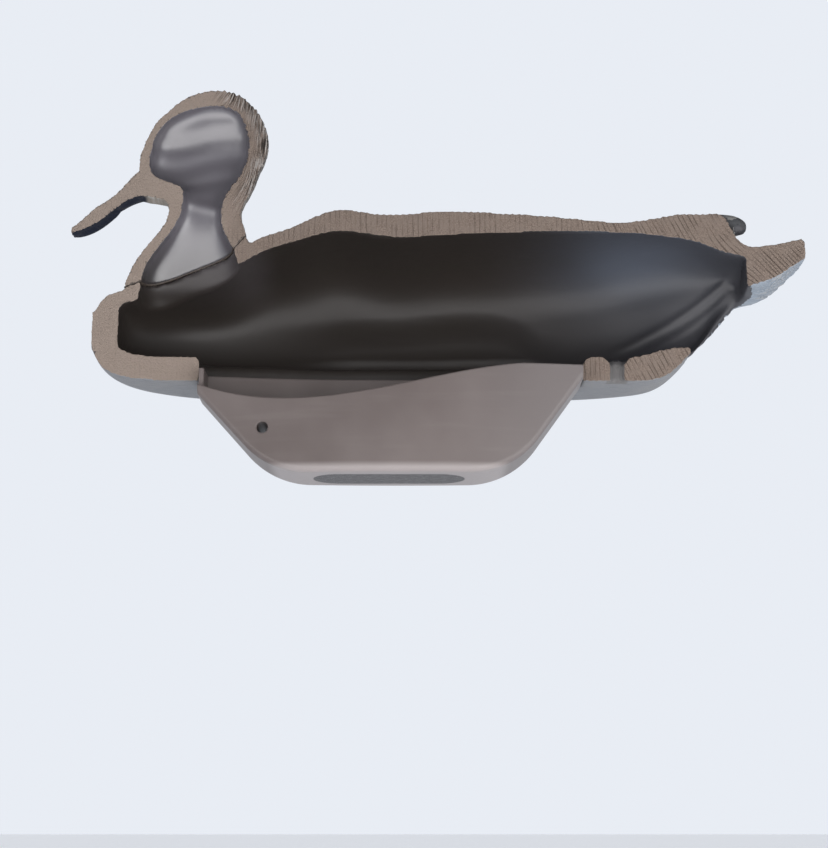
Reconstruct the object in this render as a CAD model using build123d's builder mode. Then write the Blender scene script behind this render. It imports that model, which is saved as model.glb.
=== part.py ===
from build123d import *
import os
from math import radians, tan

# Moulded floating duck decoy, sawn open along its length to show the thick foam wall.
# Frame: +Z up, bill towards -X, tail towards +X. The saw cut is the plane y = 0 and the half that is
# kept lies in +Y. The keel is left whole, so it also reaches into -Y. The keel's flat foot is z = 0,
# with x = 0 and y = 0 at the middle of the weight let into it. All sizes are in millimetres.

os.makedirs("parts", exist_ok=True)

# ---------------------------------------------------------------- driving dimensions
hull_floor = 53.0  # underside of the hull
head_reach = 60.0  # further sideways than any part of the head
above_head = 240.0  # higher than any part of the head

keel_top = 58.5  # top rim of the keel above its foot
keel_width = 46.0  # at its widest, a little behind the middle
keel_widest_x = 12.0
keel_rear_half = 15.0  # half width of the keel at its two ends
keel_front_half = 14.0
keel_wall = 2.6
keel_floor = 10.5  # thick foot that holds the weight
keel_rear = 102.5
keel_front = -101.0
foot_rear = 42.0  # ends of the flat part of the foot
foot_front = -42.0
rear_rake = 54.0  # slope of the keel's ends, in degrees
front_rake = 48.0
keel_bend = 45.0  # radius between the foot and the sloping ends
keel_edge = 3.0  # rounding of the keel's lower edges
rim_mouth = 3.6  # depth below the top rim at which the hollow becomes as long as the keel
# the near wall's rim, from the rear to the front: it dips where that wall has sunk
near_rim_points = [(102.5, 58.5), (37.0, 53.2), (6.0, 46.5), (-45.0, 39.5), (-101.0, 48.5)]
near_rim_depth = 8.0  # that rim is cut as far as this from the middle plane
bond = 0.5  # thickness of the adhesive

weight_length = 80.0
weight_width = 28.0
weight_height = 8.0

drain_x = 122.2
drain_radius = 3.6
hull_wall = 14.5  # thickness of the hull's bottom
clear = 1.0  # how far a cut runs past the surface it opens
chamfer_low = 64.0  # softened inner corners round the keel slot and the drain
chamfer_high = 68.0
chamfer_grow = 3.5

stern_gap = 26.0  # half width of the opening under the tail
stern_gap_start = 162.3
stern_gap_end = 192.0
stern_gap_top = 114.0

line_bore_radius = 3.0
line_sleeve_radius = 6.0
line_hole_x = -66.0
line_hole_z = 24.0
sleeve_half = 17.0  # half length of the line hole's sleeve

eye_radius = 5.0
eye_x = -113.0
eye_z = 188.5
eye_seat = 14.8  # floor of the eye's socket, from the cut plane
eye_front = 16.6
eye_dome = 2.2

# ---------------------------------------------------------------- stations of the outer body
# x, underside z, top z, half beam, z of the greatest beam, half width of the flat bottom,
# and under the tail how far the sides of that bottom hang below its middle
body_stations = [
    (-160.0, 71.5, 91.5, 10.0, 81.5, 2.0),
    (-155.0, 62.0, 98.5, 27.0, 80.5, 7.5),
    (-144.0, 56.0, 103.5, 43.0, 81.0, 18.0),
    (-128.0, 53.8, 107.5, 54.5, 82.5, 28.0),
    (-110.0, 53.2, 113.5, 63.0, 85.5, 36.5),
    (-90.0, hull_floor, 120.5, 69.0, 88.5, 42.0),
    (-72.0, hull_floor, 132.5, 72.0, 90.5, 45.0),
    (-54.0, hull_floor, 139.0, 74.0, 92.5, 47.0),
    (-31.0, hull_floor, 148.8, 75.0, 94.5, 48.0),
    (-5.0, hull_floor, 146.5, 75.0, 95.5, 48.0),
    (25.0, hull_floor, 148.3, 74.5, 96.5, 47.5),
    (55.0, hull_floor, 147.5, 72.5, 97.5, 46.0),
    (85.0, hull_floor, 145.7, 68.5, 99.0, 43.5),
    (110.0, hull_floor, 143.1, 63.0, 101.0, 39.0),
    (130.0, hull_floor, 142.3, 56.0, 104.0, 31.0),
    (148.0, 56.1, 145.1, 48.0, 107.5, 21.5),
    (162.0, 68.8, 146.9, 42.0, 111.0, 18.0),
    (173.0, 82.3, 146.8, 38.0, 113.5, 25.0, 1.0),
    (182.0, 93.1, 144.9, 36.0, 115.0, 27.5, 2.0),
    (190.0, 103.1, 131.5, 35.5, 116.0, 29.0, 3.0),
    (198.0, 107.1, 128.5, 36.5, 117.0, 30.5, 3.5),
    (207.0, 110.0, 129.2, 36.5, 119.5, 31.0, 3.0),
    (216.0, 115.4, 130.9, 34.0, 123.0, 28.0, 2.0),
    (222.0, 119.3, 132.4, 29.5, 126.0, 23.0, 1.0),
    (226.0, 122.4, 131.9, 24.0, 127.5, 17.0, 0.5),
]
# the hollow inside, in the same terms
cavity_stations = [
    (-146.0, 73.5, 89.5, 12.0, 81.5, 3.0),
    (-138.0, 68.5, 97.5, 30.0, 82.5, 12.0),
    (-125.0, 67.0, 102.0, 42.0, 84.0, 21.0),
    (-108.0, 66.5, 107.5, 52.0, 86.5, 30.5),
    (-90.0, 66.0, 113.5, 57.5, 88.5, 35.0),
    (-69.0, 66.0, 125.1, 61.0, 90.5, 38.0),
    (-50.0, 66.0, 131.5, 63.0, 92.5, 40.0),
    (-30.0, 66.0, 136.7, 64.0, 94.5, 41.0),
    (-2.0, 66.0, 133.9, 64.5, 95.5, 41.5),
    (28.0, 66.0, 134.5, 63.5, 96.0, 40.5),
    (60.0, 66.0, 135.9, 61.0, 97.0, 38.0),
    (90.0, 66.3, 136.7, 57.0, 99.5, 34.5),
    (115.0, 66.5, 136.4, 50.5, 102.0, 28.5),
    (136.0, 67.5, 135.3, 43.0, 105.5, 20.5),
    (152.0, 71.5, 133.5, 37.0, 108.0, 15.0),
    (164.0, 73.4, 131.5, 33.5, 109.5, 18.0),
    (175.0, 87.7, 127.5, 31.0, 111.5, 24.5, 1.0),
    (185.0, 99.9, 124.1, 27.0, 113.5, 22.5, 2.0),
    (193.0, 107.5, 120.0, 15.0, 114.0, 9.0, 1.0),
]
# ---------------------------------------------------------------- stations of neck and head
# z, front x, rear x, half width, x of the greatest width
head_stations = [
    (97.5, -147.5, -62.0, 34.0, -103.0),
    (107.5, -143.0, -67.0, 29.0, -104.0),
    (119.5, -138.0, -72.5, 24.0, -104.0),
    (128.5, -132.0, -76.5, 20.5, -102.0),
    (137.5, -125.0, -78.8, 17.5, -99.0),
    (147.5, -120.6, -81.0, 16.0, -98.0),
    (154.5, -123.0, -78.5, 17.0, -98.0),
    (161.5, -134.0, -74.8, 18.5, -98.0),
    (169.5, -137.0, -72.0, 19.5, -98.0),
    (179.5, -137.0, -68.0, 20.0, -98.0),
    (189.5, -133.6, -67.0, 19.5, -98.0),
    (199.5, -128.6, -69.5, 17.5, -98.0),
    (207.5, -120.5, -74.5, 14.0, -97.0),
    (213.0, -113.8, -80.0, 10.5, -97.0),
    (216.5, -106.0, -86.0, 6.0, -96.5),
    (218.1, -100.0, -92.5, 2.0, -96.2),
]
head_cavity_stations = [
    (95.5, -136.0, -74.0, 24.0, -104.0),
    (107.5, -134.5, -78.0, 20.0, -105.0),
    (117.5, -132.0, -82.0, 15.5, -106.0),
    (127.5, -126.0, -85.5, 12.5, -104.0),
    (137.5, -118.7, -90.6, 9.5, -104.0),
    (147.5, -113.8, -92.0, 8.0, -102.5),
    (156.5, -112.9, -90.0, 8.0, -101.5),
    (162.5, -114.8, -86.8, 8.8, -101.0),
    (167.5, -127.0, -83.0, 9.8, -100.0),
    (173.5, -131.4, -79.8, 10.2, -100.0),
    (183.5, -130.8, -77.5, 10.2, -100.0),
    (193.5, -127.8, -78.3, 9.2, -100.0),
    (201.0, -121.5, -81.2, 7.3, -99.0),
    (205.5, -114.0, -84.4, 5.2, -98.5),
    (207.9, -106.0, -89.0, 3.0, -97.5),
    (208.9, -99.5, -94.0, 1.0, -97.0),
]
# the solid bill: x, lower z, upper z, half width, droop of the outer edge
bill_stations = [
    (-118.0, 153.8, 174.0, 12.5, 0.5),
    (-127.0, 155.8, 173.3, 11.8, 1.0),
    (-137.0, 156.7, 171.5, 10.5, 1.6),
    (-146.0, 152.7, 162.0, 9.5, 2.2),
    (-156.0, 144.3, 153.3, 10.0, 2.4),
    (-166.0, 138.4, 145.3, 10.2, 1.8),
    (-173.0, 135.8, 139.1, 7.5, 0.6),
]
# the joint between head and body, seen from the side: a steep step at the nape, then a long slope
seam_points = [(-200.0, 84.5), (-84.2, 127.9), (-77.6, 135.9), (-64.0, 152.5)]


def hull_section(x, low, high, beam, beam_z, flat, sag=0.0):
    """Half a hull section in the plane at x: flat bottom, round flank, crowned back."""
    with BuildSketch(Plane.YZ.offset(x), mode=Mode.PRIVATE) as section:
        with BuildLine():
            Line((0, low), (flat, low - sag))
            Spline((flat, low - sag), (beam, beam_z), (0, high), tangents=[(1, 0), (0, 1), (-1, 0)])
            Line((0, high), (0, low))
        make_face()
    return section.sketch


def neck_section(z, front, rear, half_width, widest_x):
    """Half an egg-shaped section of neck or head in the plane at height z."""
    with BuildSketch(Plane.XY.offset(z), mode=Mode.PRIVATE) as section:
        with BuildLine():
            Spline((front, 0), (widest_x, half_width), (rear, 0), tangents=[(0, 1), (1, 0), (0, -1)])
            Line((rear, 0), (front, 0))
        make_face()
    return section.sketch


def bill_section(x, low, high, half_width, droop):
    """Half a section of the bill in the plane at x: arched above, a little hollowed below."""
    edge_z = low - droop
    side_z = edge_z + 0.3 * (high - edge_z)
    with BuildSketch(Plane.YZ.offset(x), mode=Mode.PRIVATE) as section:
        with BuildLine():
            Spline((0, low), (0.7 * half_width, edge_z), (half_width, side_z), tangents=[(1, 0), (0, 1)])
            Spline((half_width, side_z), (0, high), tangents=[(0, 1), (-1, 0)])
            Line((0, high), (0, low))
        make_face()
    return section.sketch


def above_seam(drop):
    """The space above the joint of head and body, or above a line that much below it."""
    with BuildPart(mode=Mode.PRIVATE) as space:
        with BuildSketch(Plane.XZ):
            with BuildLine():
                joint = [(x, z - drop) for x, z in seam_points]
                Polyline(*joint, (joint[-1][0], above_head), (joint[0][0], above_head), close=True)
            make_face()
        extrude(amount=-head_reach)
    return space.part


# ---------------------------------------------------------------- the hollow duck, head and body in one
with BuildPart() as duck:
    loft([hull_section(*station) for station in body_stations])
    loft([neck_section(*station) for station in head_stations])
    loft([bill_section(*station) for station in bill_stations])
    loft([hull_section(*station) for station in cavity_stations], mode=Mode.SUBTRACT)
    loft([neck_section(*station) for station in head_cavity_stations], mode=Mode.SUBTRACT)

# ---------------------------------------------------------------- head, eye and the joint at the neck
with BuildPart() as eye:
    with BuildSketch(Plane.XZ.offset(-eye_seat)):
        with Locations((eye_x, eye_z)):
            Circle(eye_radius)
    extrude(amount=-(eye_front - eye_seat))
    dome_radius = (eye_radius**2 + eye_dome**2) / (2 * eye_dome)
    with BuildSketch(Plane(origin=(eye_x, eye_front, eye_z), x_dir=(1, 0, 0), z_dir=(0, 0, 1))):
        with BuildLine():
            Line((0, 0), (eye_radius, 0))
            RadiusArc((eye_radius, 0), (0, eye_dome), -dome_radius)
            Line((0, eye_dome), (0, 0))
        make_face()
    revolve(axis=Axis((eye_x, 0, eye_z), (0, 1, 0)))

with BuildPart() as head_shell:
    add(duck.part)
    add(above_seam(0.0), mode=Mode.INTERSECT)
    with BuildSketch(Plane.XZ.offset(-eye_seat)):
        with Locations((eye_x, eye_z)):
            Circle(eye_radius)
    extrude(amount=-head_reach, mode=Mode.SUBTRACT)

with BuildPart() as neck_bond:
    add(duck.part)
    add(above_seam(bond), mode=Mode.INTERSECT)
    add(above_seam(0.0), mode=Mode.SUBTRACT)


# ---------------------------------------------------------------- keel
def keel_outline(near_side, inset):
    """Side outline of the keel, drawn in the plane y = -near_side, smaller all round by inset."""
    front_corner = foot_front - keel_bend * tan(radians(front_rake / 2))
    rear_corner = foot_rear + keel_bend * tan(radians(rear_rake / 2))
    front_knee = (front_corner - keel_front) * tan(radians(front_rake))
    rear_knee = (keel_rear - rear_corner) * tan(radians(rear_rake))
    corners = [
        (keel_front, keel_top),
        (keel_front, front_knee),
        (front_corner, 0),
        (rear_corner, 0),
        (keel_rear, rear_knee),
        (keel_rear, keel_top),
    ]
    with BuildSketch(Plane.XZ.offset(near_side), mode=Mode.PRIVATE) as outline:
        with BuildLine():
            Polyline(*corners, close=True)
        make_face()
        fillet(outline.vertices().group_by(Axis.Y)[0], radius=keel_bend)
        if inset:
            offset(amount=-inset, mode=Mode.REPLACE)
    return outline.sketch


def keel_plan(height, grow):
    """Plan of the keel in the plane at that height, as wide as given on each side: like a boat's."""
    middle = keel_width / 2 + grow
    front = (keel_front - grow, keel_front_half + grow)
    rear = (keel_rear + grow, keel_rear_half + grow)
    with BuildSketch(Plane.XY.offset(height), mode=Mode.PRIVATE) as plan:
        with BuildLine():
            Spline(front, (keel_widest_x, middle), rear)
            Line(rear, (rear[0], -rear[1]))
            Spline((rear[0], -rear[1]), (keel_widest_x, -middle), (front[0], -front[1]))
            Line((front[0], -front[1]), front)
        make_face()
    return plan.sketch


with BuildPart() as keel_hollow:
    extrude(keel_outline(keel_width / 2, keel_wall), amount=keel_width, dir=(0, 1, 0))
    with BuildSketch(Plane.XY.offset(keel_top - rim_mouth)):
        with Locations(((keel_front + keel_rear) / 2, 0)):
            Rectangle(keel_rear - keel_front - 2 * keel_wall, keel_width)
    extrude(amount=2 * rim_mouth)
    extrude(keel_plan(0.0, -keel_wall), amount=2 * keel_top, dir=(0, 0, 1), mode=Mode.INTERSECT)
    split(bisect_by=Plane.XY.offset(keel_floor), keep=Keep.TOP)

with BuildPart() as keel:
    extrude(keel_outline(keel_width, 0), amount=2 * keel_width, dir=(0, 1, 0))
    extrude(keel_plan(0.0, 0.0), amount=keel_top, dir=(0, 0, 1), mode=Mode.INTERSECT)
    long_edges = keel.edges().filter_by(lambda e: e.length > keel_width / 2)
    low_edges = long_edges.filter_by(lambda e: e.center().Z < keel_top - keel_front_half)
    fillet(low_edges.filter_by(lambda e: abs(e.center().Y) > keel_front_half / 2), radius=keel_edge)
    add(keel_hollow.part, mode=Mode.SUBTRACT)
    with BuildSketch(Plane.XZ.offset(sleeve_half)):
        with Locations((line_hole_x, line_hole_z)):
            Circle(line_sleeve_radius)
    extrude(amount=-2 * sleeve_half)
    with BuildSketch(Plane.XZ.offset(keel_width)):
        with Locations((line_hole_x, line_hole_z)):
            Circle(line_bore_radius)
    extrude(amount=-2 * keel_width, mode=Mode.SUBTRACT)
    with BuildSketch(Plane.XY):
        SlotOverall(weight_length, weight_width)
    extrude(amount=weight_height, mode=Mode.SUBTRACT)
    with BuildSketch(Plane.XZ.offset(keel_width)):
        with BuildLine():
            rear_end, front_end = near_rim_points[0], near_rim_points[-1]
            Spline(*near_rim_points)
            Polyline(front_end, (keel_front, 2 * keel_top), (keel_rear, 2 * keel_top), rear_end)
        make_face()
    extrude(amount=-(keel_width - near_rim_depth), mode=Mode.SUBTRACT)

with BuildPart() as keel_weight:
    with BuildSketch(Plane.XY):
        SlotOverall(weight_length, weight_width)
    extrude(amount=weight_height)

with BuildPart() as keel_bond:
    extrude(keel_plan(hull_floor, bond), amount=keel_top - hull_floor, dir=(0, 0, 1))
    extrude(keel_plan(hull_floor, 0.0), amount=keel_top - hull_floor, dir=(0, 0, 1), mode=Mode.SUBTRACT)
    split(bisect_by=Plane.XZ, keep=Keep.BOTTOM)

# ---------------------------------------------------------------- body
# wing tips lying on the rump: x, sideways place, height, half width, half thickness
wing_tip_stations = [
    (140.0, 13.0, 140.0, 6.0, 2.5),
    (166.0, 10.5, 144.5, 6.5, 4.0),
    (184.0, 7.5, 143.2, 5.6, 5.5),
    (192.0, 7.0, 141.6, 4.5, 4.9),
    (195.5, 7.0, 141.3, 2.0, 2.4),
]


def wing_tip_section(x, y, z, half_width, half_height):
    """Oval section of a folded wing's tip in the plane at x."""
    with BuildSketch(Plane.YZ.offset(x), mode=Mode.PRIVATE) as section:
        with Locations((y, z)):
            Ellipse(half_width, half_height)
    return section.sketch


with BuildPart() as body_shell:
    add(duck.part)
    loft([wing_tip_section(*station) for station in wing_tip_stations])
    add(above_seam(bond), mode=Mode.SUBTRACT)
    slot = keel_plan(hull_floor - clear, bond)
    extrude(slot, amount=hull_wall + 2 * clear, dir=(0, 0, 1), mode=Mode.SUBTRACT)
    loft([keel_plan(chamfer_low, bond), keel_plan(chamfer_high, bond + chamfer_grow)], mode=Mode.SUBTRACT)
    with BuildSketch(Plane.XY.offset(hull_floor)):
        with Locations(((stern_gap_start + stern_gap_end) / 2, 0)):
            Rectangle(stern_gap_end - stern_gap_start, 2 * stern_gap)
    extrude(amount=stern_gap_top - hull_floor, mode=Mode.SUBTRACT)
    with Locations((drain_x, 0, hull_floor)):
        Cylinder(drain_radius, 3 * hull_wall, mode=Mode.SUBTRACT)
    with Locations((drain_x, 0, (chamfer_low + chamfer_high) / 2)):
        Cone(drain_radius, drain_radius + chamfer_grow, chamfer_high - chamfer_low, mode=Mode.SUBTRACT)

# ---------------------------------------------------------------- files
pieces = {
    "body_shell": body_shell,
    "head_shell": head_shell,
    "neck_bond": neck_bond,
    "keel": keel,
    "keel_weight": keel_weight,
    "keel_bond": keel_bond,
    "eye": eye,
}
for name, piece in pieces.items():
    piece.part.label = name
    export_step(piece.part, f"parts/{name}.step")
    print(name, len(piece.part.solids()), round(piece.part.volume), piece.part.is_valid)
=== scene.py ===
"""Looks of the sawn-open duck decoy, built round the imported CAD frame. Lengths are in metres."""
import math

import bmesh
import bpy
import numpy as np
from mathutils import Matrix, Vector
from mathutils.kdtree import KDTree


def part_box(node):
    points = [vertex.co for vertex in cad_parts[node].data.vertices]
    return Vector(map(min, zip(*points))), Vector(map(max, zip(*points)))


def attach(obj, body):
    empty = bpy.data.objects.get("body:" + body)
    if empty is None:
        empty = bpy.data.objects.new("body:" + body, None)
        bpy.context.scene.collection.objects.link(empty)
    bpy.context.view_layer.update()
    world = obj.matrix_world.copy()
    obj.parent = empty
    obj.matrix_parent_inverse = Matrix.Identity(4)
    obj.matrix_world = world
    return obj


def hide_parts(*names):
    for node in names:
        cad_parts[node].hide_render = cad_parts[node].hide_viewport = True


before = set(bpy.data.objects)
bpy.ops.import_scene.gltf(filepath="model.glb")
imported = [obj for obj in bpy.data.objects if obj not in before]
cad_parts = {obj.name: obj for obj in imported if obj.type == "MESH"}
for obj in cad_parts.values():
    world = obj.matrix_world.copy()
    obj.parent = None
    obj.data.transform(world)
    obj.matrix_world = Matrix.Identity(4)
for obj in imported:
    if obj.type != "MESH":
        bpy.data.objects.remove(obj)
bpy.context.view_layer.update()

MM = 0.001
SHELL_VOXEL = 1.25 * MM
HEAD_VOXEL = 0.65 * MM
CUT, INSIDE, OUTSIDE = 0, 1, 2  # the three surfaces of a sawn shell, and their material slots
HOLLOW_MIDDLE = 0.0965  # height of the middle of the body's hollow
WATERLINE = 0.066  # the hull below this is plain paint, above it are moulded feathers
DRAIN_X = 0.1222  # the drain hole behind the keel
DRAIN_HALF = 0.0055  # half width, top and depth of the block that takes in the drain's wall
DRAIN_TOP = 0.0675
DRAIN_DEPTH = 0.006
CORNERS = (0.1032, 0.1186, 0.1258)  # upper corners of the hull wall by the slot and the drain
CORNER_DROP = 0.0024  # how far those corners are worn down
BACK_PITCH = 0.0028  # spacing of the saw marks along the back
TAIL_PITCH = 0.0027  # spacing of the saw marks towards the tail
PITCH_CHANGE = 0.1  # where one spacing gives way to the other
BACK = 0.142  # height from which the slant of the saw marks on the back is measured
FLOOR_DROP = 0.25  # the floor lies this far below the keel
FLOOR_REACH = 12.0

scene = bpy.context.scene
scene.view_settings.view_transform = "Standard"

keel_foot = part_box("keel")[0].z


# ---------------------------------------------------------------- camera, light and floor
def make_camera():
    """Long lens, square to the saw cut, looking up a little from below the keel."""
    camera = bpy.data.objects.new("camera", bpy.data.cameras.new("camera"))
    scene.collection.objects.link(camera)
    rise = math.radians(12)
    distance = 1.0
    aim = Vector((0.0132, 0.0, 0.0297))  # low, which leaves open space under the duck
    camera.location = aim - distance * Vector((0, math.cos(rise), math.sin(rise)))
    camera.rotation_euler = (math.pi / 2 + rise, 0, 0)
    camera.data.lens = 79.8
    scene.camera = camera


def area_light(name, place, aim, size, power, colour):
    light = bpy.data.objects.new(name, bpy.data.lights.new(name, "AREA"))
    scene.collection.objects.link(light)
    light.location = place
    light.rotation_euler = (Vector(aim) - Vector(place)).to_track_quat("-Z", "Y").to_euler()
    light.data.shape = "RECTANGLE"
    light.data.size, light.data.size_y = size
    light.data.energy = power
    light.data.color = colour
    light.visible_camera = False


def make_world():
    """Pale surroundings. The part that lights the sawn face is dim overhead; behind the duck it is bright."""
    world = bpy.data.worlds.new("studio")
    scene.world = world
    world.use_nodes = True
    tree = world.node_tree

    def ranged(value, low, high, start, end):
        """Carry value from low..high over to start..end."""
        node = tree.nodes.new("ShaderNodeMapRange")
        tree.links.new(value, node.inputs["Value"])
        for key, number in (("From Min", low), ("From Max", high), ("To Min", start), ("To Max", end)):
            node.inputs[key].default_value = number
        return node.outputs[0]

    seen = tree.nodes["Background"]
    seen.inputs["Color"].default_value = (0.81, 0.845, 0.905, 1)
    lit = tree.nodes.new("ShaderNodeBackground")
    lit.inputs["Color"].default_value = (0.9, 0.93, 1.0, 1)
    split = tree.nodes.new("ShaderNodeSeparateXYZ")
    tree.links.new(tree.nodes.new("ShaderNodeTexCoord").outputs["Generated"], split.inputs[0])
    in_front = ranged(split.outputs["Z"], -0.1, 0.5, 0.55, 0.1)
    behind = ranged(split.outputs["Y"], 0.0, 0.5, 0.0, 0.8)
    brighter = tree.nodes.new("ShaderNodeMath")
    brighter.operation = "MAXIMUM"
    tree.links.new(in_front, brighter.inputs[0])
    tree.links.new(behind, brighter.inputs[1])
    tree.links.new(brighter.outputs[0], lit.inputs["Strength"])
    choose = tree.nodes.new("ShaderNodeMixShader")
    tree.links.new(tree.nodes.new("ShaderNodeLightPath").outputs["Is Camera Ray"], choose.inputs[0])
    tree.links.new(lit.outputs[0], choose.inputs[1])
    tree.links.new(seen.outputs[0], choose.inputs[2])
    tree.links.new(choose.outputs[0], tree.nodes["World Output"].inputs["Surface"])


def make_floor():
    """A plain pale floor well below the object, which hangs as if it were held up."""
    reach, height = FLOOR_REACH, keel_foot - FLOOR_DROP
    mesh = bpy.data.meshes.new("floor")
    around = ((-reach, -reach), (reach, -reach), (reach, reach), (-reach, reach))
    mesh.from_pydata([(x, y, height) for x, y in around], [], [(0, 1, 2, 3)])
    floor = bpy.data.objects.new("floor", mesh)
    scene.collection.objects.link(floor)
    return floor


# ---------------------------------------------------------------- small node-graph helper
class Graph:
    """A material and its node tree, with short calls to add and join nodes."""

    def __init__(self, name):
        self.material = bpy.data.materials.new(name)
        self.material.use_nodes = True
        self.tree = self.material.node_tree
        self.tree.nodes.clear()
        self.shader = self.add("ShaderNodeBsdfPrincipled")
        output = self.add("ShaderNodeOutputMaterial")
        self.join(self.shader.outputs[0], output.inputs["Surface"])

    def add(self, kind, inputs=None, **settings):
        node = self.tree.nodes.new(kind)
        for key, value in settings.items():
            setattr(node, key, value)
        for key, value in (inputs or {}).items():
            if isinstance(value, bpy.types.NodeSocket):
                self.join(value, node.inputs[key])
            else:
                node.inputs[key].default_value = value
        return node

    def join(self, source, target):
        self.tree.links.new(source, target)

    def position(self):
        return self.add("ShaderNodeTexCoord").outputs["Object"]

    def axes(self):
        split = self.add("ShaderNodeSeparateXYZ", {0: self.position()})
        return split.outputs[0], split.outputs[1], split.outputs[2]

    def attribute(self, name, output="Fac"):
        return self.add("ShaderNodeAttribute", attribute_name=name).outputs[output]

    def combine(self, x, y, z):
        return self.add("ShaderNodeCombineXYZ", {0: x, 1: y, 2: z}).outputs[0]

    def slide(self, value, low, high):
        """0 below low, 1 above high, smooth between; low may be the larger."""
        inputs = {"Value": value, "From Min": low, "From Max": high}
        return self.add("ShaderNodeMapRange", inputs, interpolation_type="SMOOTHSTEP").outputs[0]

    def noise(self, vector, scale, detail=3.0, roughness=0.5):
        inputs = {"Vector": vector, "Scale": scale, "Detail": detail, "Roughness": roughness}
        return self.add("ShaderNodeTexNoise", inputs).outputs["Fac"]

    def stretch(self, vector, scale, rotation=(0, 0, 0)):
        inputs = {"Vector": vector, "Scale": scale, "Rotation": rotation}
        return self.add("ShaderNodeMapping", inputs).outputs[0]

    def spots(self, vector, scale):
        return self.add("ShaderNodeTexVoronoi", {"Vector": vector, "Scale": scale}).outputs["Distance"]

    def math(self, operation, a, b=0.0, clamp=False):
        node = self.add("ShaderNodeMath", {0: a, 1: b}, operation=operation, use_clamp=clamp)
        return node.outputs[0]

    def ramp(self, value, stops):
        """A colour ramp; stops are (place, grey or colour)."""
        node = self.add("ShaderNodeValToRGB", {"Fac": value})
        elements = node.color_ramp.elements
        while len(elements) < len(stops):
            elements.new(0.5)
        for element, (place, colour) in zip(elements, stops):
            element.position = place
            element.color = (*colour, 1) if isinstance(colour, tuple) else (colour, colour, colour, 1)
        return node.outputs["Color"]

    def mix(self, factor, a, b, blend="MIX"):
        node = self.add("ShaderNodeMix", data_type="RGBA", blend_type=blend)
        for index, value in ((0, factor), (6, a), (7, b)):
            if isinstance(value, bpy.types.NodeSocket):
                self.join(value, node.inputs[index])
            elif index:
                node.inputs[index].default_value = (*value, 1)
            else:
                node.inputs[index].default_value = value
        return node.outputs[2]

    def finish(self, colour, roughness, height=None, depth=0.0002, **plain):
        self.join(colour, self.shader.inputs["Base Color"])
        self.join(roughness, self.shader.inputs["Roughness"])
        if height is not None:
            bump = self.add("ShaderNodeBump", {"Height": height, "Distance": depth, "Strength": 1.0})
            self.join(bump.outputs[0], self.shader.inputs["Normal"])
        for name, value in plain.items():
            self.shader.inputs[name.replace("_", " ")].default_value = value
        return self.material


# ---------------------------------------------------------------- materials
def foam_cut():
    """Sawn face of the foam: brown, finely porous, scored by the saw, torn and fibrous at the nape."""
    g = Graph("foam_cut")
    place = g.position()
    painted_light_head_cut = g.attribute("painted_light_head_cut")
    depth = g.attribute("saw_depth")
    ragged = g.attribute("ragged")
    mottle = g.noise(place, 150.0, 4.0, 0.6)
    grain = g.noise(place, 1300.0, 4.0, 0.75)
    pores = g.spots(place, 900.0)
    across = g.attribute("saw")
    lines = g.combine(across, 0.0, g.math("MULTIPLY", g.axes()[2], 30.0))
    waver = g.math("MULTIPLY", g.noise(lines, 0.55, 2.0), 10.0)
    tooth = g.math("SINE", g.math("ADD", g.math("MULTIPLY", across, 2 * math.pi), waver))
    patchy = g.slide(g.noise(place, 90.0, 2.0), 0.35, 0.6)
    score = g.math("MULTIPLY", g.math("MULTIPLY", g.slide(tooth, 0.72, 1.0), patchy), depth)
    strokes = g.noise(lines, 2.6, 2.0)
    hair = g.math("MULTIPLY", g.slide(strokes, 0.45, 0.3), depth)
    colour = g.ramp(grain, [(0.3, (0.105, 0.08, 0.066)), (0.7, (0.315, 0.25, 0.21))])
    colour = g.mix(g.slide(mottle, 0.4, 0.65), colour, (0.22, 0.175, 0.148))
    # painted light: the sawn face of the head and neck is made paler, less so at the nape
    colour = g.mix(g.math("MULTIPLY", painted_light_head_cut, 0.65), colour, (0.33, 0.27, 0.23))
    colour = g.mix(g.math("MULTIPLY", hair, 0.4), colour, (0.085, 0.063, 0.05))
    colour = g.mix(g.math("MULTIPLY", score, 0.7), colour, (0.06, 0.044, 0.035))
    colour = g.mix(g.ramp(pores, [(0.05, 0.45), (0.25, 0.0)]), colour, (0.07, 0.05, 0.04))
    colour = g.mix(g.math("MULTIPLY", g.slide(strokes, 0.51, 0.58), ragged), colour, (0.42, 0.39, 0.37))
    colour = g.mix(g.math("MULTIPLY", g.slide(strokes, 0.48, 0.41), ragged), colour, (0.03, 0.026, 0.024))
    torn = g.math("MULTIPLY", g.math("SUBTRACT", g.noise(place, 700.0, 3.0), 0.45), 0.0035)
    outer_edge = g.slide(g.math("SUBTRACT", g.attribute("skin_out"), torn), 0.0009, 0.0003)
    inner_edge = g.slide(g.math("SUBTRACT", g.attribute("skin_in"), torn), 0.0008, 0.0002)
    colour = g.mix(g.math("MULTIPLY", outer_edge, 0.8), colour, (0.045, 0.042, 0.045))
    colour = g.mix(g.math("MULTIPLY", inner_edge, 0.7), colour, (0.035, 0.028, 0.025))
    height = g.math("ADD", g.math("MULTIPLY", pores, 0.35), g.math("MULTIPLY", grain, 0.7))
    height = g.math("SUBTRACT", height, g.math("MULTIPLY", score, 0.6))
    height = g.math("ADD", height, g.math("MULTIPLY", g.math("MULTIPLY", strokes, ragged), 3.0))
    rough = g.ramp(grain, [(0.0, 0.8), (1.0, 0.95)])
    return g.finish(colour, rough, height, 0.0005, Specular_IOR_Level=0.2)


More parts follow.
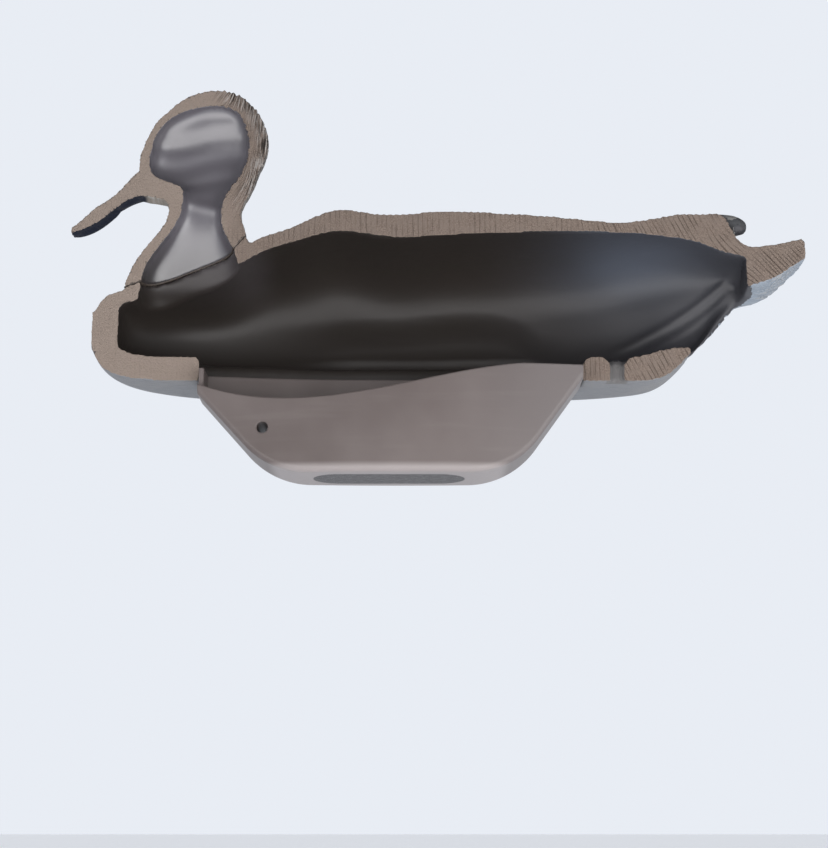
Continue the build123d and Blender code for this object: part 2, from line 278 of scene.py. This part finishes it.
def inner_skin(name, coat, coat_index):
    """Smooth moulded skin of the hollow inside: near black in the body, with painted reflections (lighter and
    bluer toward the rear, a bluish cloud high near the tail) and painted light that makes it paler up the
    neck and in the head.
    """
    g = Graph(name)
    place = g.position()
    flow = g.noise(g.stretch(place, (9.0, 14.0, 38.0)), 1.0, 3.0)
    fine = g.noise(place, 420.0, 3.0)
    # painted reflection: the body's inner skin turns lighter and bluer toward the rear
    painted_sheen_rear = g.slide(g.axes()[0], 0.03, 0.17)
    colour = g.mix(painted_sheen_rear, (0.028, 0.023, 0.02), (0.042, 0.042, 0.048))
    # painted reflection: a bluish cloud coloured into the skin high in the rear of the body's hollow
    colour = g.mix(g.attribute("painted_reflection"), colour, (0.075, 0.085, 0.108))
    # painted light: the inner skin is made paler up the neck and in the head
    colour = g.mix(g.attribute("painted_light_neck_head"), colour, (0.125, 0.113, 0.122))
    colour = g.mix(g.math("MULTIPLY", g.slide(flow, 0.35, 0.7), 0.25), colour, (0.02, 0.015, 0.013))
    rough = g.math("ADD", g.math("MULTIPLY", flow, 0.16), g.math("MULTIPLY", fine, 0.08))
    rough = g.math("ADD", rough, 0.33)
    height = g.math("ADD", g.math("MULTIPLY", flow, 1.0), g.math("MULTIPLY", fine, 0.05))
    gloss = {"Coat_Weight": coat, "Coat_Roughness": 0.31, "Coat_IOR": coat_index}
    tint = (0.92, 0.94, 1.0, 1)
    return g.finish(colour, rough, height, 0.0005, Specular_IOR_Level=0.35, Coat_Tint=tint, **gloss)


def plumage():
    """Paint over the moulded feathers: darker between them, with pale worn edges and fine barbs."""
    g = Graph("plumage")
    place = g.position()
    base = g.attribute("tint", "Color")
    fringe = g.attribute("fringe")
    barbs = g.noise(g.combine(g.math("MULTIPLY", g.axes()[0], 120.0), g.attribute("across"), 0.0), 1.0, 3.0)
    waves = g.noise(g.stretch(place, (900.0, 90.0, 140.0)), 1.0, 3.0)
    speck = g.noise(place, 1400.0, 3.0)
    blotch = g.noise(place, 45.0, 3.0)
    vermiculated = g.attribute("vermiculated")
    colour = g.mix(g.math("MULTIPLY", g.slide(waves, 0.5, 0.62), vermiculated), base, (0.46, 0.46, 0.45))
    colour = g.mix(g.math("MULTIPLY", g.slide(waves, 0.46, 0.34), vermiculated), colour, (0.06, 0.06, 0.062))
    colour = g.mix(g.math("MULTIPLY", g.slide(barbs, 0.45, 0.7), 0.3), colour, (0.03, 0.028, 0.028))
    colour = g.mix(g.math("MULTIPLY", g.slide(fringe, 0.78, 0.93), 0.5), colour, (0.42, 0.41, 0.39))
    colour = g.mix(g.math("MULTIPLY", g.slide(fringe, 0.22, 0.02), 0.55), colour, (0.02, 0.02, 0.022))
    worn = g.math("MULTIPLY", g.slide(blotch, 0.4, 0.75), g.attribute("worn"))
    colour = g.mix(worn, colour, (0.3, 0.28, 0.26))
    rough = g.math("ADD", g.math("MULTIPLY", speck, 0.25), g.attribute("dullness"))
    height = g.math("ADD", g.math("MULTIPLY", barbs, 0.8), g.math("MULTIPLY", speck, 0.35))
    return g.finish(colour, rough, height, 0.0003, Specular_IOR_Level=0.14)


def keel_moulding():
    """Unpainted keel moulding: grey-brown, satin, faintly mottled and scuffed, with softened edges, a painted
    shadow over its front and a painted highlight along its foot.
    """
    g = Graph("keel_moulding")
    place = g.position()
    cloud = g.noise(place, 20.0, 3.0)
    fine = g.noise(place, 650.0, 3.0)
    scuff = g.noise(g.stretch(place, (18.0, 25.0, 190.0), (0, 0.35, 0)), 1.0, 3.0)
    painted_glint_foot = g.slide(g.axes()[2], 0.006, 0.0025)
    colour = g.ramp(cloud, [(0.3, (0.115, 0.092, 0.087)), (0.7, (0.16, 0.133, 0.127))])
    # painted shadow: the keel is darker toward the front and lighter toward the rear
    colour = g.mix(g.slide(g.axes()[0], 0.02, 0.1), colour, (0.165, 0.145, 0.143))
    colour = g.mix(g.math("MULTIPLY", g.slide(scuff, 0.5, 0.75), 0.12), colour, (0.26, 0.23, 0.22))
    # painted highlight: the bottom band of the keel is made paler for the gloss on its underside
    colour = g.mix(g.math("MULTIPLY", painted_glint_foot, 0.6), colour, (0.42, 0.38, 0.375))
    rough = g.math("ADD", g.math("MULTIPLY", cloud, 0.14), g.math("MULTIPLY", fine, 0.12))
    rough = g.math("ADD", rough, 0.27)
    height = g.math("ADD", g.math("MULTIPLY", cloud, 1.0), g.math("MULTIPLY", fine, 0.12))
    material = g.finish(colour, rough, height, 0.0003, Specular_IOR_Level=0.5)
    soft_edge = g.add("ShaderNodeBevel", {"Radius": 0.0012}, samples=4)
    bump = next(node for node in g.tree.nodes if node.type == "BUMP")
    g.join(soft_edge.outputs[0], bump.inputs["Normal"])
    return material


def ballast_metal():
    """Cast weight, dark and pitted."""
    g = Graph("ballast_metal")
    cast = g.noise(g.position(), 260.0, 5.0, 0.65)
    colour = g.ramp(cast, [(0.3, (0.035, 0.032, 0.032)), (0.75, (0.12, 0.112, 0.115))])
    rough = g.ramp(cast, [(0.3, 0.3), (0.7, 0.55)])
    return g.finish(colour, rough, cast, 0.0006, Metallic=0.6)


def plain_rough(name, dark, light, scale, low, high, depth=0.0002):
    g = Graph(name)
    grain = g.noise(g.position(), scale, 3.0)
    colour = g.ramp(grain, [(0.3, dark), (0.7, light)])
    return g.finish(colour, g.ramp(grain, [(0.3, low), (0.7, high)]), grain, depth)


# ---------------------------------------------------------------- meshes taken from the frame
def remeshed(node, name, voxel):
    """A fine, even copy of a CAD node's solid as a new mesh object."""
    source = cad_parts[node]
    copy = bpy.data.objects.new(name, source.data.copy())
    scene.collection.objects.link(copy)
    copy.data.materials.clear()
    bm = bmesh.new()
    bm.from_mesh(copy.data)
    bmesh.ops.remove_doubles(bm, verts=bm.verts, dist=1e-6)
    bm.to_mesh(copy.data)
    bm.free()
    modifier = copy.modifiers.new("even", "REMESH")
    modifier.mode = "VOXEL"
    modifier.voxel_size = voxel
    depsgraph = bpy.context.evaluated_depsgraph_get()
    mesh = bpy.data.meshes.new_from_object(copy.evaluated_get(depsgraph))
    copy.modifiers.clear()
    copy.data = mesh
    return copy


def read_array(items, field, width, kind):
    flat = np.empty(len(items) * width, kind)
    items.foreach_get(field, flat)
    return flat.reshape(-1, width) if width > 1 else flat


def put_points(mesh, points):
    mesh.vertices.foreach_set("co", points.ravel())
    mesh.update()


def put_attribute(mesh, name, values):
    kind = "FLOAT_COLOR" if values.ndim == 2 else "FLOAT"
    field = "color" if values.ndim == 2 else "value"
    mesh.attributes.new(name, kind, "POINT").data.foreach_set(field, values.ravel())


def smoothed(mesh, points, rounds, free):
    """Relax the free points towards the middle of their neighbours."""
    edges = read_array(mesh.edges, "vertices", 2, np.int32)
    start, end = edges[:, 0], edges[:, 1]
    count = len(points)
    neighbours = np.bincount(edges.ravel(), minlength=count)[:, None]
    for _ in range(rounds):
        total = np.empty_like(points)
        for axis in range(3):
            total[:, axis] = np.bincount(start, points[end, axis], count)
            total[:, axis] += np.bincount(end, points[start, axis], count)
        points = np.where(free[:, None], 0.5 * points + 0.5 * total / neighbours, points)
    return points


def distance_to(points, targets):
    """Distance from each point to the nearest of the targets."""
    tree = KDTree(len(targets))
    for index, target in enumerate(targets):
        tree.insert(target, index)
    tree.balance()
    return np.array([tree.find(point)[2] for point in points])


# ---------------------------------------------------------------- fields that vary over the duck
def slide(value, low, high):
    """0 at low and beyond, 1 at high and beyond, smooth between; low may be the larger."""
    t = np.clip((value - low) / (high - low), 0.0, 1.0)
    return t * t * (3.0 - 2.0 * t)


def wobble(a, b, wavelength, seed=0.0):
    """Smooth irregular waves between about -1 and 1."""
    k = 2 * math.pi / wavelength
    total = np.sin(k * (a + 0.3 * b) + seed) + np.sin(k * (0.62 * b - 0.81 * a) * 1.37 + 2.1 * seed + 1.0)
    return (total + np.sin(k * (0.9 * a + 0.77 * b) * 2.11 + 0.7 * seed + 2.0)) / 3.0


def along_curve(x, knots):
    """Height of a smooth line through a few (x, z) knots."""
    xs, zs = zip(*knots)
    fit = np.polyfit(xs, zs, len(xs) - 1)
    return np.polyval(fit, np.clip(x, xs[0], xs[-1]))


def feathers(along, across, length, width):
    """Overlapping feathers in staggered rows: 0 at the root rising to 1 at the tip, and how far across."""

    def placed(row):
        """How far across its feather each point is, and where that feather's rounded tip ends."""
        shift = 0.5 * np.mod(row, 2)
        side = np.mod(across / width + shift, 1.0) - 0.5
        return side, (row + 1.0 - 2.2 * side**2) * length

    row = np.floor(along / length)
    for _ in range(2):
        side, tip = placed(row)
        row = np.where(along > tip, row + 1.0, row)
    side, tip = placed(row)
    rise = 1.0 - np.clip((tip - along) / length, 0.0, 1.5) / 1.5
    return rise, side


def saw_marks(points):
    """Count of saw marks: they stand upright on the back, and lean over at the tail and the nape."""
    x, z = points[:, 0], points[:, 2]
    lean = 0.5 * slide(x, 0.09, 0.13) + 0.4 * slide(x, 0.17, 0.2)
    lean = lean - 0.7 * slide(z, 0.13, 0.17) * slide(x, -0.06, -0.09)
    lower = z < 0.08
    lean = np.where(lower, 0.5 * slide(x, 0.121, 0.126), lean)
    place = x + np.where(lower, z - 0.06, z - BACK) * lean
    past_change = np.maximum(place - PITCH_CHANGE, 0.0)
    return np.minimum(place, PITCH_CHANGE) / BACK_PITCH + past_change / TAIL_PITCH


def blend(base, colour, amount):
    """Carry the base colours towards one colour, by an amount at each point."""
    return base + (np.array(colour) - base) * amount[:, None]


# ---------------------------------------------------------------- the two sawn shells
def settle(mesh, voxel):
    """Flatten the cut, relax the steps of the remesh and round the corners by the drain."""
    points = read_array(mesh.vertices, "co", 3, float)
    on_cut = points[:, 1] < 0.6 * voxel
    points[on_cut, 1] = 0.0
    points = smoothed(mesh, points, 2, np.ones(len(points), bool))
    points = smoothed(mesh, points, 6, ~on_cut)
    x, y, z = points.T
    stern_rim = (x > 0.158) & (x < 0.2) & (z < 0.11) & (y > 0.004)
    points = smoothed(mesh, points, 20, stern_rim)
    points[on_cut, 1] = 0.0
    for corner in CORNERS:
        near = slide(np.abs(points[:, 0] - corner), 0.005, 0.0) * slide(points[:, 1], 0.009, 0.003)
        low = slide(points[:, 2], 0.059, 0.067) * (points[:, 2] < 0.075)
        points[:, 2] -= CORNER_DROP * near * low
    put_points(mesh, points)
    return points, on_cut, stern_rim


def by_drain(points):
    x, y, z = points.T
    return (np.abs(x - DRAIN_X) < DRAIN_HALF) & (y < DRAIN_DEPTH) & (z < DRAIN_TOP)


def sort_surfaces(points, normals, centre, on_cut, stern_rim):
    """Which surface each point is on. The stern's rim counts as inside, the drain's wall as outside."""
    outward = np.einsum("ij,ij->i", normals, points - centre) > 0
    rim = stern_rim & (normals[:, 1] < -0.25)
    surface = np.where(on_cut, CUT, np.where(outward & ~rim, OUTSIDE, INSIDE))
    surface[by_drain(points) & (surface == INSIDE)] = OUTSIDE
    return surface


def tear(points):
    """Make the edges of the cut a little ragged, most of all at the nape."""
    x, y, z = points.T
    near_cut = slide(y, 0.004, 0.0)
    at_nape = slide(x, -0.1, -0.085) * slide(x, -0.058, -0.07) * slide(z, 0.145, 0.165)
    torn = 0.0003 * near_cut * (1.0 + 1.5 * at_nape)
    points[:, 0] += torn * wobble(x, z, 0.0045)
    points[:, 2] += torn * wobble(points[:, 0], points[:, 2], 0.0037, 1.7)


def assign_materials(mesh, surface, materials):
    """Cut faces where every corner is on the cut, the rest by the surface most of their corners are on."""
    corners = read_array(mesh.loops, "vertex_index", 1, np.int32).reshape(-1, 4)
    votes = surface[corners]
    more_inside = (votes == INSIDE).sum(1) >= (votes == OUTSIDE).sum(1)
    slots = np.where((votes == CUT).all(1), CUT, np.where(more_inside, INSIDE, OUTSIDE))
    for material in materials:
        mesh.materials.append(material)
    mesh.polygons.foreach_set("material_index", slots.astype(np.int32))
    mesh.polygons.foreach_set("use_smooth", np.ones(len(slots), bool))


def put_foam_looks(mesh, points, surface, voxel):
    """What the cut and the inner skin need to know at each point."""
    on_cut = surface == CUT
    band = points[:, 1] < 3 * voxel
    skin_out = np.full(len(points), 0.01)
    skin_in = skin_out.copy()
    skin_out[on_cut] = distance_to(points[on_cut], points[(surface == OUTSIDE) & band])
    skin_in[on_cut] = distance_to(points[on_cut], points[(surface == INSIDE) & band])
    x, z = points[:, 0], points[:, 2]
    head = np.maximum(slide(x, -0.07, -0.09), slide(z, 0.152, 0.162))
    tail = slide(x, 0.1, 0.15)
    nape = head * slide(z, 0.145, 0.165) * slide(x, -0.1, -0.085)
    put_attribute(mesh, "skin_out", skin_out)
    put_attribute(mesh, "skin_in", skin_in)
    put_attribute(mesh, "saw", saw_marks(points))
    # painted light: paler inner skin from the upper neck into the head
    put_attribute(mesh, "painted_light_neck_head", slide(z, 0.1, 0.145) * slide(x, -0.06, -0.085))
    # painted reflection: a bluish cloud high up near the tail's root
    put_attribute(mesh, "painted_reflection", np.exp(-(((x - 0.135) / 0.035) ** 2) - (((z - 0.127) / 0.016) ** 2)))
    # painted light: the head's sawn face is paler, less so at the nape
    put_attribute(mesh, "painted_light_head_cut", head * (1.0 - 0.6 * nape) * slide(x, -0.075, -0.1))
    put_attribute(mesh, "saw_depth", np.clip(0.6 + 0.4 * tail - 0.5 * head + 0.7 * nape, 0.0, 1.0))
    put_attribute(mesh, "ragged", nape * slide(skin_out, 0.009, 0.002))


def shell_piece(node, name, voxel, materials, centre_of, shape_inside, dress_outside):
    """One half-shell: a fine mesh with separate finishes for saw cut, inside and outside."""
    piece = remeshed(node, name, voxel)
    mesh = piece.data
    points, on_cut, stern_rim = settle(mesh, voxel)
    normals = read_array(mesh.vertices, "normal", 3, float)
    surface = sort_surfaces(points, normals, centre_of(points), on_cut, stern_rim)
    fade_in = slide(points[:, 1], 0.0, 3 * voxel) * (surface == INSIDE)
    points = points + normals * (shape_inside(points) * fade_in)[:, None]
    relief, looks = dress_outside(points, normals)
    fade_out = slide(points[:, 1], -0.001, 0.004) * (surface == OUTSIDE)
    points = points + normals * (relief * fade_out)[:, None]
    tear(points)
    put_points(mesh, points)
    assign_materials(mesh, surface, materials)
    put_foam_looks(mesh, points, surface, voxel)
    for key, values in looks.items():
        put_attribute(mesh, key, values)
    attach(piece, "root")
    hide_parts(node)
    return piece


def body_centre(points):
    """A point inside the hollow, level with each point of the body."""
    centre = points.copy()
    centre[:, 0] = np.clip(points[:, 0], -0.12, 0.15)
    centre[:, 1] = 0.0
    centre[:, 2] = HOLLOW_MIDDLE
    return centre


def head_centre(points):
    """A point inside the hollow, level with each point of the head and neck, or on the bill's axis."""
    centre = points.copy()
    high = points[:, 2] > 0.1645  # in the round of the head, above the neck
    centre[:, 0] = np.where(high, -0.1, -0.102)
    centre[:, 1] = 0.0
    centre[:, 2] = np.where(high, 0.1875, points[:, 2])
    front = points[:, 0] < -0.1325
    centre[front, 0] = -0.12
    bill = front & (points[:, 2] > 0.131)
    centre[bill, 0] = points[bill, 0]
    centre[bill, 2] = 0.1635 + 0.63 * (points[bill, 0] + 0.1345)
    return centre


def body_inside(points):
    """Relief of the moulded inner skin: a low swell along the bilge, and two folds up to the tail's root."""
    x, z = points[:, 0], points[:, 2]
    crest = along_curve(x, [(-0.04, 0.104), (0.0, 0.107), (0.04, 0.11), (0.065, 0.107), (0.085, 0.095)])
    length = slide(x, -0.075, -0.02) * slide(x, 0.105, 0.07)
    above_slot = slide(z, 0.069, 0.078)
    swell = 0.0044 * slide(z, crest, crest - 0.022) * above_slot * length
    fold = along_curve(x, [(0.115, 0.078), (0.15, 0.091), (0.188, 0.117)])
    toward_tail = slide(x, 0.115, 0.14) * slide(x, 0.192, 0.182)
    folds = np.exp(-(((z - fold) / 0.0028) ** 2)) + 0.6 * np.exp(-(((z - fold + 0.009) / 0.003) ** 2))
    return swell + 0.0011 * folds * toward_tail + 0.0005 * wobble(x, z, 0.11)


def head_inside(points):
    """A softer roof, flow marks across the head, and a crease where the neck opens into it."""
    x, y, z = points.T
    crease = np.exp(-(((z - 0.153 + 0.25 * (x + 0.1)) / 0.0035) ** 2))
    marks = np.sin(2 * math.pi * z / 0.013 + 1.5 * np.sin(90.0 * x))
    roof = slide(z, 0.186, 0.203) * slide(x, -0.074, -0.088) * slide(y, 0.0, 0.015)
    return 0.0026 * roof + 0.0007 * crease + 0.00018 * marks * slide(z, 0.16, 0.17)


def dress_body(points, normals):
    """Moulded feathers and painted regions of the body."""
    x, y, z = points.T
    ring = np.arctan2(y, z - HOLLOW_MIDDLE) * 0.07
    broad, broad_side = feathers(x + 0.2, ring, 0.026, 0.017)
    small, small_side = feathers(x + 0.2, ring, 0.011, 0.0115)
    slim, slim_side = feathers(x + 0.2, ring, 0.03, 0.011)
    breast = slide(x, -0.06, -0.1)
    rear = slide(x, 0.15, 0.18)
    above_water = slide(z, WATERLINE, WATERLINE + 0.006)
    rise = broad + (small - broad) * (breast > 0.5)
    rise = rise + (slim - rise) * (rear > 0.5)
    side = np.where(breast > 0.5, small_side, np.where(rear > 0.5, slim_side, broad_side))
    under_tail = slide(-normals[:, 2], 0.15, 0.5) * slide(x, 0.16, 0.19)
    relief = 0.0011 * (rise - 0.4) * above_water
    relief = relief - 0.0003 * np.exp(-((side / 0.05) ** 2)) * above_water
    # grey flanks, a brown back, a dark breast, and the pale patch of the wing
    tint = np.tile(np.array([0.21, 0.2, 0.195]), (len(points), 1))
    tint = blend(tint, (0.115, 0.09, 0.075), slide(z, 0.118, 0.13) * slide(x, 0.1, 0.07))
    tint = blend(tint, (0.13, 0.12, 0.115), breast)
    speculum = slide(x, 0.085, 0.092) * slide(x, 0.128, 0.12) * slide(z, 0.104, 0.11) * slide(z, 0.134, 0.128)
    tint = blend(tint, (0.55, 0.54, 0.5), speculum)
    # black rump, grey tail tip, pale underside of the tail, and the dark wing tips
    tint = blend(tint, (0.02, 0.02, 0.022), slide(x, 0.145, 0.165) * (1.0 - under_tail))
    tint = blend(tint, (0.33, 0.35, 0.38), slide(x, 0.196, 0.204) * (1.0 - under_tail))
    tint = blend(tint, (0.27, 0.31, 0.36), under_tail)
    knob = slide(x, 0.150, 0.165) * slide(x, 0.2, 0.197) * slide(z, 0.1385, 0.142) * slide(y, 0.018, 0.014)
    knob_end = slide(x, 0.186, 0.189) * slide(x, 0.2, 0.197) * slide(z, 0.134, 0.136)
    knob = np.maximum(knob, knob_end)
    tint = blend(tint, (0.075, 0.078, 0.083), knob)
    relief = relief * (1.0 - knob)
    # plain grey hull below the water, and the drain's wall
    tint = blend(tint, (0.22, 0.225, 0.238), 1.0 - above_water)
    tint = blend(tint, (0.16, 0.155, 0.155), 1.0 * by_drain(points))
    looks = {
        "tint": np.hstack([tint, np.ones((len(points), 1))]),
        "fringe": np.where(above_water > 0.5, rise, 0.5),
        "across": ring * 900.0,
        "vermiculated": 0.55 * above_water * (1 - breast) * slide(x, 0.15, 0.13) * (1.0 - speculum),
        "dullness": 0.42 - 0.08 * (1.0 - above_water) + 0.15 * knob,
        "worn": 0.2 * (1.0 - knob),
    }
    return relief, looks


def dress_head(points, _normals):
    """Fine head feathers, the cheek, and the bill with its nostril, nail and mouth line."""
    x, y, z = points.T
    fine, side = feathers(0.3 - z, np.arctan2(y, x + 0.1) * 0.02 + 0.4 * x, 0.006, 0.005)
    bill = slide(x, -0.1315, -0.1345) * slide(z, 0.176, 0.173) * slide(z, 0.126, 0.131)
    down_bill = (-0.134 - x) / 0.04
    mouth = 0.1565 - 0.0195 * np.clip(down_bill, 0.0, 1.2)
    relief = 0.0006 * (fine - 0.4) * (1.0 - bill)
    cheek = np.exp(-(((x + 0.103) / 0.02) ** 2) - (((z - 0.178) / 0.013) ** 2))
    relief = relief + 0.0012 * cheek * (1.0 - bill)
    relief = relief - 0.0008 * np.exp(-(((z - mouth) / 0.0009) ** 2)) * bill
    nostril = np.exp(-(((x + 0.143) / 0.0028) ** 2) - (((z - 0.1625) / 0.0012) ** 2))
    relief = relief - 0.0012 * nostril * bill
    relief = relief + 0.0006 * slide(x, -0.167, -0.17) * slide(y, 0.005, 0.003)
    crown = slide(z, 0.192, 0.2)
    nape = slide(x, -0.085, -0.075) * slide(z, 0.14, 0.15)
    stripe = np.exp(-(((z - 0.187 - 0.15 * (x + 0.113)) / 0.004) ** 2)) * slide(x, -0.09, -0.1)
    # buff cheeks and neck, dark crown, nape and eye stripe, and a blue-black bill
    tint = np.tile(np.array([0.26, 0.23, 0.2]), (len(points), 1))
    tint = blend(tint, (0.06, 0.05, 0.045), np.maximum(crown, 0.8 * nape))
    tint = blend(tint, (0.07, 0.06, 0.055), 0.7 * stripe)
    tint = blend(tint, (0.13, 0.12, 0.115), slide(z, 0.14, 0.12))
    tint = blend(tint, (0.01, 0.013, 0.024), bill)
    looks = {
        "tint": np.hstack([tint, np.ones((len(points), 1))]),
        "fringe": 0.5 + (fine - 0.5) * (1.0 - bill),
        "across": side * 12.0,
        "vermiculated": 0.25 * (1.0 - bill) * (1.0 - crown),
        "dullness": 0.44 - 0.02 * bill,
        "worn": 0.2 * (1.0 - bill),
    }
    return relief, looks


make_camera()
make_world()
area_light("table_glow", (0.15, -0.35, -0.19), (0.05, -0.05, 0.1), (1.3, 0.8), 6.5, (1.0, 0.975, 0.95))
area_light("low_left", (-0.9, -1.0, -0.05), (0.1, 0, 0.09), (0.7, 0.5), 2.0, (1.0, 0.98, 0.96))
area_light("low_right", (0.9, -1.1, -0.1), (0.02, 0, 0.08), (0.7, 0.5), 1.4, (0.96, 0.98, 1.0))
floor = make_floor()
table = plain_rough("pale_table", (0.80, 0.83, 0.88), (0.83, 0.86, 0.91), 30.0, 0.7, 0.9)
table_shader = table.node_tree.nodes["Principled BSDF"]
table_shader.inputs["Emission Color"].default_value = (0.95, 0.97, 1.0, 1)
table_shader.inputs["Emission Strength"].default_value = 0.42
floor.data.materials.append(table)

foam = foam_cut()
paint = plumage()
body_skin = inner_skin("body_inner_skin", 0.1, 1.5)
head_skin = inner_skin("head_inner_skin", 1.0, 1.9)
body_finishes = [foam, body_skin, paint]
head_finishes = [foam, head_skin, paint]
shell_piece("body_shell", "body_half", SHELL_VOXEL, body_finishes, body_centre, body_inside, dress_body)
shell_piece("head_shell", "head_half", HEAD_VOXEL, head_finishes, head_centre, head_inside, dress_head)

finishes = {
    "keel": keel_moulding(),
    "keel_weight": ballast_metal(),
    "neck_bond": plain_rough("adhesive", (0.05, 0.04, 0.034), (0.1, 0.08, 0.066), 400.0, 0.4, 0.7),
    "eye": plain_rough("eye_polish", (0.01, 0.005, 0.003), (0.03, 0.012, 0.006), 300.0, 0.03, 0.06),
}
finishes["keel_bond"] = finishes["neck_bond"]
for node, material in finishes.items():
    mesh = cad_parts[node].data
    mesh.materials.clear()
    mesh.materials.append(material)
